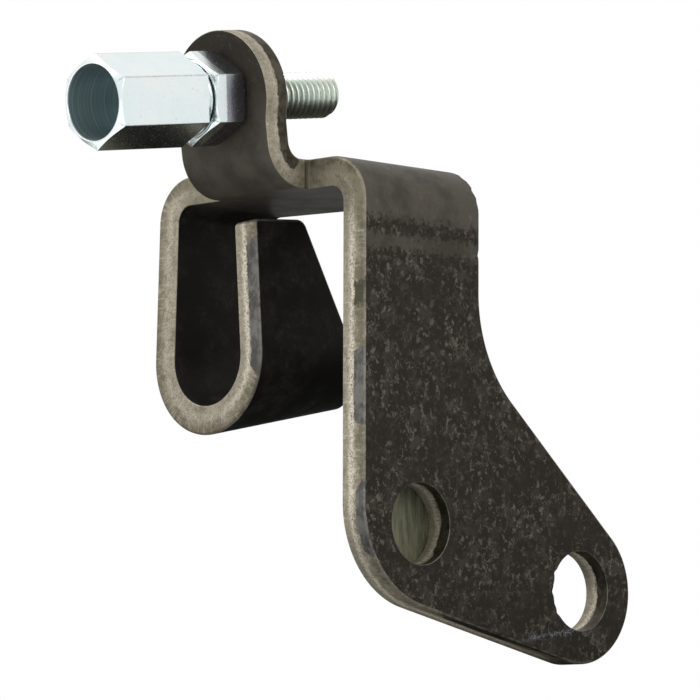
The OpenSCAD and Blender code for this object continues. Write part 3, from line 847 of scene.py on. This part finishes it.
def bare_edge(t, s, y, thick, edge, slid, fine, ragged, cloud):
    """Colour of the sheared edge, the reach of its polished band and its grain."""
    drawn = edge_grain(t, s, y, thick, 0.3, 1.1, 6.0)
    across = edge_grain(t, s, y, thick, 2.2, 0.5, 4.0)
    warped = wander(t, thick, drawn, 1.2, -0.6)
    torn = blend(t, ramp(t, warped, -0.1, 0.75), TORN_INNER, TORN_OUTER)
    for source, low, high, most, tone in (
            (ragged, 0.5, 0.66, 0.4, (0.5, 0.46, 0.38)),
            (ragged, 0.46, 0.34, 0.45, (0.12, 0.105, 0.07)),
            (across, 0.5, 0.7, 0.6, (0.56, 0.52, 0.42)),
            (drawn, 0.48, 0.64, 0.65, (0.15, 0.135, 0.1)),
            (cloud, 0.5, 0.68, 0.4, (0.4, 0.34, 0.27)),
            (fine, 0.5, 0.36, 0.5, (0.11, 0.096, 0.068))):
        torn = blend(t, ramp(t, source, low, high, 0.0, most), torn, tone)
    # a painted highlight line down the middle of the edge, strongest at the bend and from the
    # hook on
    where = maths(t, "MAXIMUM", ramp(t, s, 12.0, -8.0, 0.2, 0.85),
                  ramp(t, s, float(S_BOTTOM), float(S_LEG), 0.2, 0.85))
    painted_edge_highlight = times(t, near_zero(t, maths(t, "ADD", warped, 0.18), 0.0, 0.42),
                   ramp(t, fine, 0.34, 0.58), where)
    torn = blend(t, painted_edge_highlight, torn, EDGE_HIGHLIGHT_PAINT)
    # a painted olive reflection of the surroundings from the bend to the second one, faint on the
    # tab
    painted_olive_reflection = times(t, band(t, s, -9.0, 2.0, 40.0, 50.0),
                  ramp(t, y, FRONT - 5.0, FRONT - 1.0, 0.1, 0.6))
    torn = blend(t, painted_olive_reflection, torn, blend(t, ramp(t, drawn, 0.4, 0.6), *OLIVE_REFLECTION_PAINT))
    # a dark torn bite below the bend, and the shade in the tab's root
    bite = times(t, near_zero(t, wander(t, s, ragged, 5.0, 13.2), 1.7, 2.4),
                 ramp(t, warped, -0.05, 0.12), ramp(t, y, FRONT + 1.0, FRONT + 2.0, 0.85, 0.0))
    torn = blend(t, bite, torn, BITE)
    off_root = maths(t, "SUBTRACT", s, float(HOLE_S - NECK))
    painted_root_shade = times(t, near_zero(t, off_root, 0.1, 0.45, 0.85),
                 ramp(t, y, FRONT - 0.9, FRONT - 0.6))
    torn = blend(t, painted_root_shade, torn, ROOT_SHADE)
    # the polished band, darker off the front edge, and a painted highlight on the rim of the
    # faces
    slid_at = maths(t, "ADD", thick, maths(t, "SUBTRACT", slid, 1.0))
    slid_at = wander(t, slid_at, ragged, 0.6, -0.3)
    slid_band = times(t, ramp(t, slid_at, 0.0, 0.1), ramp(t, slid, 0.1, 0.3))
    off_front = maths(t, "ABSOLUTE", maths(t, "SUBTRACT", y, FRONT + 1.0))
    streak = ramp(t, drawn, 0.4, 0.62)
    polished = blend(t, ramp(t, off_front, 2.5, 4.0), blend(t, streak, *POLISHED_FRONT),
                     blend(t, streak, *POLISHED_ELSEWHERE))
    bare = blend(t, slid_band, torn, polished)
    rim = times(t, band(t, edge, 0.25, 0.5, 0.75, 0.95), ramp(t, ragged, 0.4, 0.56, 0.1, 0.7))
    return blend(t, rim, bare, RIM_HIGHLIGHT_PAINT), slid_band, drawn


def steel_strip():
    """The strip's material: mill scale on its faces and bare steel on its edges."""
    m, t, bsdf = material("mill_scale_strip", IOR=1.21, Specular_Tint=(1.0, 0.95, 0.87, 1.0))
    p = in_mm(t, place(t, "ShaderNodeTexCoord"), "Object")
    edge, thick, slid = (attribute(t, n) for n in ("edge", "thick", "slid"))
    blank = in_mm(t, place(t, "ShaderNodeUVMap", uv_map="Blank"), 0)
    s, y, _ = place(t, "ShaderNodeSeparateXYZ", {0: blank}).outputs
    fine = grouped(t, GRAIN, p, per_mm=3.2, detail=3.0)
    ragged = grouped(t, GRAIN, p, per_mm=0.9, detail=6.0)
    cloud = grouped(t, GRAIN, p, per_mm=0.13, detail=5.0)
    scale, light = mill_scale(t, p, s, y, fine, ragged, cloud)
    bare, slid_band, drawn = bare_edge(t, s, y, thick, edge, slid, fine, ragged, cloud)
    edge_in = ramp(t, wander(t, edge, ragged, 0.2, -0.1), 0.15, 0.4)
    rough = maths(t, "MULTIPLY_ADD", fine, 0.2, ramp(t, light, 0.0, 0.8, 0.42, 0.34))
    rough_edge = maths(t, "MULTIPLY_ADD", slid_band, -0.1, 0.5)
    rough = place(t, "ShaderNodeMix", {0: edge_in, 2: rough, 3: rough_edge}).outputs[0]
    height = maths(t, "ADD", times(t, fine, 0.6), times(t, light, 0.8))
    height = maths(t, "ADD", height, times(t, drawn, times(t, edge, 2.5)))
    dress(t, bsdf, blend(t, edge_in, scale, bare), rough, height, 0.4, 0.00008)
    t.links.new(times(t, edge_in, 0.5), bsdf.inputs["Metallic"])
    return m


bracket.data.materials.append(steel_strip())
print(bracket.data.materials[0].name)


# %% [markdown]
# ## Bright zinc
# Zinc plate on machined steel is a bluish white metal with a faint grain,
# slightly duller specks, and a worn line along each corner; on the thread the
# same tone is a painted shade in the grooves. The nut's rear part gets a
# painted reflection of the dark tab. In the socket and the bores the walls get
# a painted shade, darker and bluer, with the lathe's rings in them.

# %% Zinc materials
def zinc(name, colour, wear_and_groove_shade, bore_shade=(0.45, 0.53, 0.54), tab_reflection_from=99.0, roughness=0.2):
    """Zinc plate in a colour, with a tone for its worn corners, which on the thread is a
    painted shade in the grooves, and a painted shade for its bores.

    The keyword after the bore's tone is the distance down the axis where a painted
    reflection of the dark tab starts, in mm.
    The default lies past every piece.
    """
    m, t, bsdf = material(name, Metallic=1.0)
    p = in_mm(t, place(t, "ShaderNodeTexCoord"), "Object")
    fine = grouped(t, GRAIN, p, per_mm=2.6, detail=4.0)
    cloud = grouped(t, GRAIN, p, per_mm=0.16, detail=3.0)
    speck = grouped(t, PATCHES, p, per_mm=2.0, level=0.63, softness=0.05)
    ridge, inner, along = (attribute(t, n) for n in ("ridge", "inner", "along"))
    cooler = tuple(c * k for c, k in zip(colour, (0.92, 0.98, 1.0)))
    tint = blend(t, ramp(t, cloud, 0.35, 0.65), colour, cooler)
    # painted reflection of the dark tab: a blue-grey over the nut's rear part
    tab_reflection_at = maths(t, "MULTIPLY_ADD", fine, 0.3, along)
    painted_tab_reflection = ramp(t, tab_reflection_at, tab_reflection_from, tab_reflection_from + 0.4, 0.0, 0.9)
    tint = blend(t, painted_tab_reflection, tint, (0.25, 0.25, 0.29))
    # duller specks and worn corners; on the thread this tone is a painted shade in the grooves
    tint = blend(t, times(t, speck, 0.3), tint, wear_and_groove_shade)
    tint = blend(t, times(t, ridge, ramp(t, fine, 0.3, 0.7, 0.25, 0.9)), tint, wear_and_groove_shade)
    ring = place(t, "ShaderNodeTexNoise", {"W": along, "Scale": 2.4, "Detail": 3.0},
                 noise_dimensions="1D").outputs["Fac"]
    # painted shade on the bore walls, darker and bluer, with the lathe's rings in it
    bore_shade_and_rings = blend(t, ramp(t, ring, 0.45, 0.7), bore_shade, tuple(1.4 * c for c in bore_shade))
    rough = maths(t, "MULTIPLY_ADD", speck, 0.12, roughness - 0.06)
    rough = maths(t, "MULTIPLY_ADD", fine, 0.16, rough)
    rough = maths(t, "MULTIPLY_ADD", inner, 0.2, rough)
    height = maths(t, "ADD", times(t, fine, 0.7), times(t, ring, times(t, inner, 2.0)))
    dress(t, bsdf, blend(t, inner, tint, bore_shade_and_rings), rough, height, 0.3, 0.00003)
    return m


# The nut's rear 5 mm, next to the tab, get a painted reflection of the dark tab.
NUT_TAB_REFLECTION_FROM = -5.0  # the rear 5 mm of the nut, next to the tab
barrel.data.materials.append(zinc("bright_zinc_barrel", (0.83, 0.87, 0.86), (0.42, 0.44, 0.43)))
nut.data.materials.append(zinc("bright_zinc_nut", (0.78, 0.82, 0.81), (0.40, 0.42, 0.41),
                               tab_reflection_from=NUT_TAB_REFLECTION_FROM))
# On the thread the worn tone is a painted shade in the grooves.
stem.data.materials.append(zinc("zinc_on_thread", (0.60, 0.64, 0.56), (0.16, 0.17, 0.14),
                                roughness=0.28))


# %% Pad behind the front hole
def ground_pad():
    """Dull ground steel: an olive grey with streaks that lean 35 degrees."""
    m, t, bsdf = material("ground_pad_steel", Metallic=0.7)
    p = in_mm(t, place(t, "ShaderNodeTexCoord"), "Object")
    leaning = place(t, "ShaderNodeMapping", {"Vector": p, "Rotation": (np.radians(-35), 0, 0),
                    "Scale": (1.0, 1.5, 0.3)}).outputs[0]
    streak = grouped(t, GRAIN, leaning, per_mm=0.5, detail=5.0)
    fine = grouped(t, GRAIN, p, per_mm=3.0, detail=2.0)
    colour = blend(t, ramp(t, streak, 0.35, 0.65), (0.085, 0.088, 0.055), (0.19, 0.19, 0.13))
    dress(t, bsdf, colour, maths(t, "MULTIPLY_ADD", fine, 0.2, 0.4), streak, 0.3, 0.00005)
    return m


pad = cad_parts["backing_pad"]
pad.data.materials.clear()
pad.data.materials.append(ground_pad())
print("materials:", [m.name for m in bpy.data.materials])


# %% [markdown]
# ## Camera
# The camera was solved from the photograph: the two bolt holes, the socket's
# rim and the strip's edges fix its place, a little below the part and far away,
# with a long lens.

# %% Camera
FOCAL_PX, IMAGE_PX, SENSOR = 4500, 700, 36
CAMERA_AT = [0.5265, -0.5779, -0.0396]
camera_data = bpy.data.cameras.new("camera")
camera_data.sensor_width = SENSOR
camera_data.lens = SENSOR * FOCAL_PX / IMAGE_PX
camera_data.clip_start, camera_data.clip_end = 0.05, 10
camera = add_object("camera", camera_data)
bpy.context.scene.camera = camera
azimuth, elevation, roll = np.radians([45.28, -5.96, 0.16])
back = np.array([np.sin(azimuth) * np.cos(elevation), -np.cos(azimuth) * np.cos(elevation),
                 np.sin(elevation)])
right = np.array([np.cos(azimuth), np.sin(azimuth), 0.0])
up = np.cross(back, right)
right, up = (np.cos(roll) * right + np.sin(roll) * up, np.cos(roll) * up - np.sin(roll) * right)
axes = np.stack([right, up, back, CAMERA_AT], 1)
camera.matrix_world = Matrix([*axes.tolist(), [0, 0, 0, 1]])
print("lens:", round(camera_data.lens, 1), "mm")


# %% [markdown]
# ## Light, floor and backdrop
# A white room lights the part: the world is white to the camera and to
# reflections, and a little lower for plain light, which leaves room for a soft
# lamp from above. The camera sits lower than the part, so the floor is seen
# only from above. A dark card lies on it that only reflections see, as a
# photographer's flag: it gives the zinc its dark undersides.

# %% World
def seen_directly(tree):
    """1 for rays of the camera, of reflections and of glass, 0 for plain light."""
    path = place(tree, "ShaderNodeLightPath").outputs
    mirrored = maths(tree, "MAXIMUM", path["Is Glossy Ray"], path["Is Transmission Ray"])
    return maths(tree, "MAXIMUM", path["Is Camera Ray"], mirrored)


ROOM_LIGHT = 0.62  # the room's share for plain light
world = bpy.data.worlds.new("white_room")
bpy.context.scene.world = world
world.use_nodes = True
wt = world.node_tree
wt.links.new(ramp(wt, seen_directly(wt), 0.0, 1.0, ROOM_LIGHT, 1.0),
             wt.nodes["Background"].inputs["Strength"])
wt.nodes["Background"].inputs["Color"].default_value = (1, 1, 1, 1)
print("world:", world.name)


# %% Lamps
def lamp(name, location, target, size, power, colour=(1, 1, 1)):
    """A square soft lamp that looks at the target."""
    data = bpy.data.lights.new(name, "AREA")
    data.shape, data.size, data.energy, data.color = "SQUARE", size, power, colour
    facing = (Vector(location) - Vector(target)).to_track_quat("Z", "Y")
    add_object(name, data).matrix_world = Matrix.LocRotScale(Vector(location), facing, None)
    print(name, power, "W,", size, "m wide")


CENTRE = (-0.025, -0.04, 0.04)
lamp("top_left_softbox", (-0.25, -0.55, 0.75), CENTRE, 0.6, 5.0, (0.97, 0.99, 1.0))
lamp("right_fill", (0.8, -0.1, 0.35), CENTRE, 0.5, 2.0)


# %% Floor and flag
def sheet_at(name, z, low, high):
    """A flat rectangle at height z from one corner to the other, facing up."""
    (x0, y0), (x1, y1) = low, high
    mesh = bpy.data.meshes.new(name)
    mesh.from_pydata([(x0, y0, z), (x1, y0, z), (x1, y1, z), (x0, y1, z)], [], [(0, 1, 2, 3)])
    obj = add_object(name, mesh)
    return obj


FLOOR_Z = -0.0129
floor = sheet_at("floor", FLOOR_Z, (-3, -3), (3, 3))
floor_material, t, bsdf = material("pale_floor", Roughness=0.9, Specular_IOR_Level=0.0)
bsdf.inputs["Base Color"].default_value = (0.82, 0.82, 0.82, 1)
bsdf.inputs["Emission Color"].default_value = (1, 1, 1, 1)
t.links.new(times(t, seen_directly(t), 0.3), bsdf.inputs["Emission Strength"])
clear = place(t, "ShaderNodeBsdfTransparent").outputs[0]
below = place(t, "ShaderNodeNewGeometry").outputs["Backfacing"]
mix = place(t, "ShaderNodeMixShader", {0: below, 1: bsdf.outputs[0], 2: clear})
t.links.new(mix.outputs[0], t.nodes["Material Output"].inputs["Surface"])
floor.data.materials.append(floor_material)

flag = sheet_at("reflection_flag", FLOOR_Z + 0.0002, (-0.35, -0.12), (0.2, 0.5))
flag_material, t, bsdf = material("black_card", Roughness=1.0, Specular_IOR_Level=0.0)
bsdf.inputs["Base Color"].default_value = (0.07, 0.075, 0.07, 1)
flag.data.materials.append(flag_material)
flag.visible_camera = flag.visible_diffuse = flag.visible_shadow = False
flag.visible_transmission = False
print("floor and flag at", FLOOR_Z, "m")


# %% [markdown]
# ## Colours
# The colours are shown as they are worked out.

bpy.context.scene.view_settings.view_transform = "Standard"
